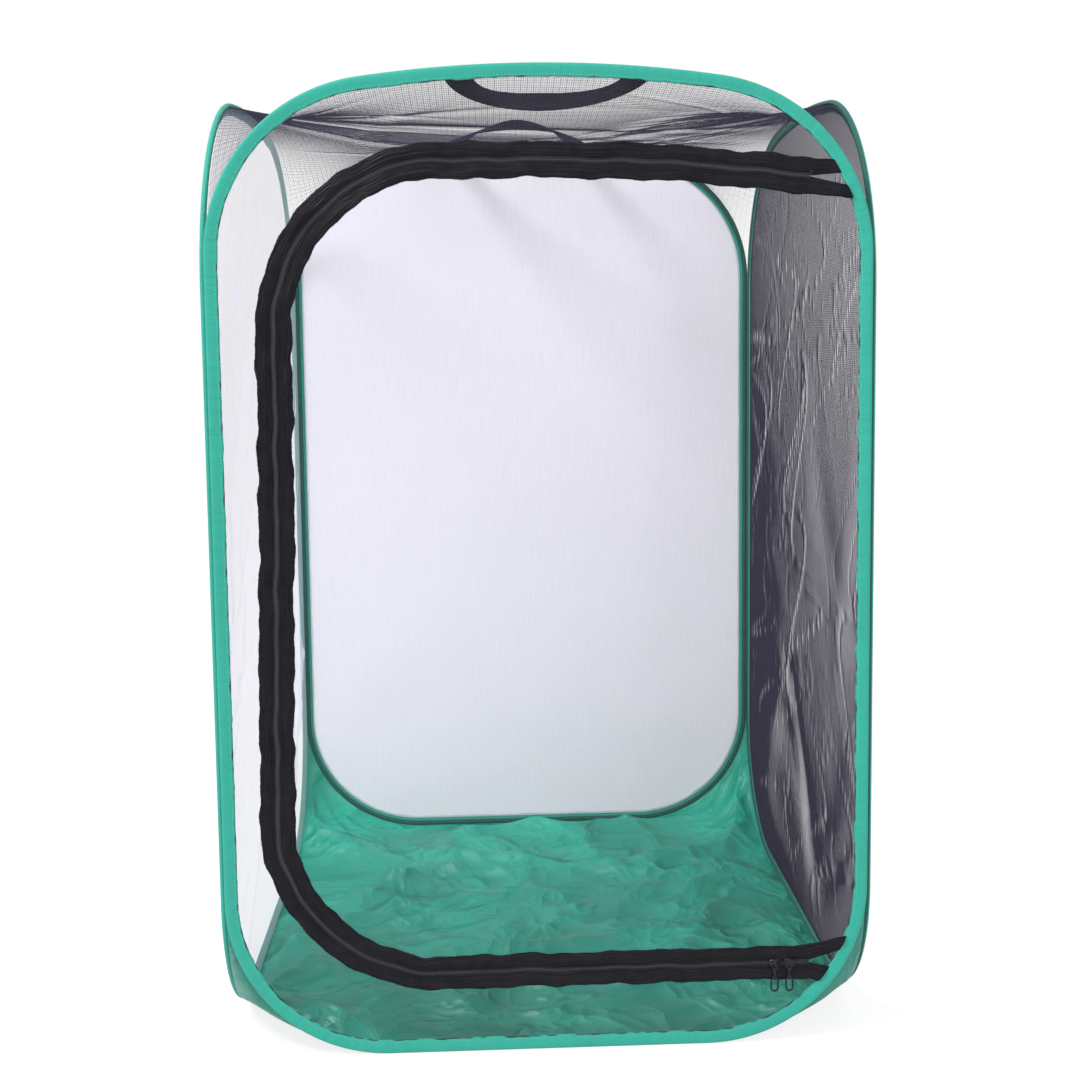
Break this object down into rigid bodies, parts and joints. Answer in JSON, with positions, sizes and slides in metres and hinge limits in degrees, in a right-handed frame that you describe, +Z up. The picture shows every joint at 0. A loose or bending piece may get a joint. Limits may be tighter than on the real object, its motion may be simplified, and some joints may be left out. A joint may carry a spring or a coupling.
{
  "type": "insect cage",
  "caption": "Upright pop-up net cage on sprung wire loops, with a zipped front door, woven floor and two webbing handles; folds flat.",
  "frame": {"origin": "on the ground at the middle of the floor, halfway between the middle planes of opposite walls", "axes": "+Z up, -Y towards the front with the zipped door, +X to the right as seen from the front"},
  "size_m": [0.6056, 0.6091, 0.9207],
  "materials": {
    "green_binding": "woven, matt",
    "green_nylon": "woven, satin",
    "white_sheer": "sheer",
    "clear_sheer": "sheer",
    "black_net": "fine net",
    "black_tape": "woven, matt",
    "black_coil": "satin",
    "black_enamel": "gloss",
    "black_webbing": "ribbed, matt",
    "spring_steel": "bright"
  },
  "bodies": {
    "back_wall": {"back_wire_loop": "spring_steel", "back_wire_sleeve": "spring_steel", "back_binding": "green_binding", "back_panel": "white_sheer", "roof_panel": "black_net", "floor_panel": "green_nylon"},
    "left_wall": {"left_wire_loop": "spring_steel", "left_wire_sleeve": "spring_steel", "left_binding": "green_binding", "left_panel": "white_sheer"},
    "right_wall": {"right_wire_loop": "spring_steel", "right_wire_sleeve": "spring_steel", "right_binding": "green_binding", "right_panel": "black_net"},
    "front_wall": {"front_wire_loop": "spring_steel", "front_wire_sleeve": "spring_steel", "front_binding": "green_binding", "front_panel": "clear_sheer", "outer_zipper_tape": "black_tape", "upper_tape_tail": "black_tape", "lower_tape_tail": "black_tape", "outer_coil": "black_coil", "upper_coil_end": "black_coil", "lower_coil_end": "black_coil", "upper_end_stop": "black_enamel", "lower_end_stop": "black_enamel"},
    "door": {"door_panel": "clear_sheer", "door_zipper_tape": "black_tape", "door_coil": "black_coil"},
    "first_slider": {"slider_a": "black_enamel"},
    "second_slider": {"slider_b": "black_enamel"},
    "first_pull": {"pull_a": "black_enamel"},
    "second_pull": {"pull_b": "black_enamel"},
    "front_strap": {"front_handle": "black_webbing"},
    "rear_strap": {"rear_handle": "black_webbing"}
  },
  "joints": [
    {"name": "left_fold", "type": "hinge", "parent": "back_wall", "child": "left_wall", "pos_m": [-0.29687, 0.29687, 0], "axis": [0, 0, -1], "range_deg": [-90, 0], "stiffness_Nm_per_rad": 0.4, "deforming": ["roof_panel", "floor_panel"]},
    {"name": "front_fold", "type": "hinge", "parent": "left_wall", "child": "front_wall", "pos_m": [-0.3, -0.3, 0], "axis": [0, 0, 1], "range_deg": [-90, 0]},
    {"name": "right_fold", "type": "hinge", "parent": "back_wall", "child": "right_wall", "pos_m": [0.3, 0.3, 0], "axis": [0, 0, -1], "range_deg": [-90, 0]},
    {"name": "door_hinge", "type": "hinge", "parent": "front_wall", "child": "door", "pos_m": [0.192, -0.3003, 0], "axis": [0, 0, 1], "range_deg": [0, 140]},
    {"name": "slider_a_slide", "type": "slide", "parent": "front_wall", "child": "first_slider", "axis": [-1, 0, 0], "range_m": [0, 0.31]},
    {"name": "slider_b_slide", "type": "slide", "parent": "front_wall", "child": "second_slider", "axis": [1, 0, 0], "range_m": [0, 0.0095]},
    {"name": "pull_a_hinge", "type": "hinge", "parent": "first_slider", "child": "first_pull", "pos_m": [0.2106, -0.30431, 0.077], "axis": [-1, 0, 0], "range_deg": [0, 150]},
    {"name": "pull_b_hinge", "type": "hinge", "parent": "second_slider", "child": "second_pull", "pos_m": [0.2246, -0.30431, 0.077], "axis": [-1, 0, 0], "range_deg": [0, 150]},
    {"name": "front_handle_hinge", "type": "hinge", "parent": "front_wall", "child": "front_strap", "pos_m": [0, -0.3, 0.89741], "axis": [1, 0, 0], "range_deg": [0, 100]},
    {"name": "rear_handle_hinge", "type": "hinge", "parent": "back_wall", "child": "rear_strap", "pos_m": [0, 0.3, 0.89741], "axis": [-1, 0, 0], "range_deg": [0, 100]}
  ],
  "couplings": [
    {"joint": "front_fold", "follows": "left_fold", "ratio": 1},
    {"joint": "right_fold", "follows": "left_fold", "ratio": 1}
  ]
}
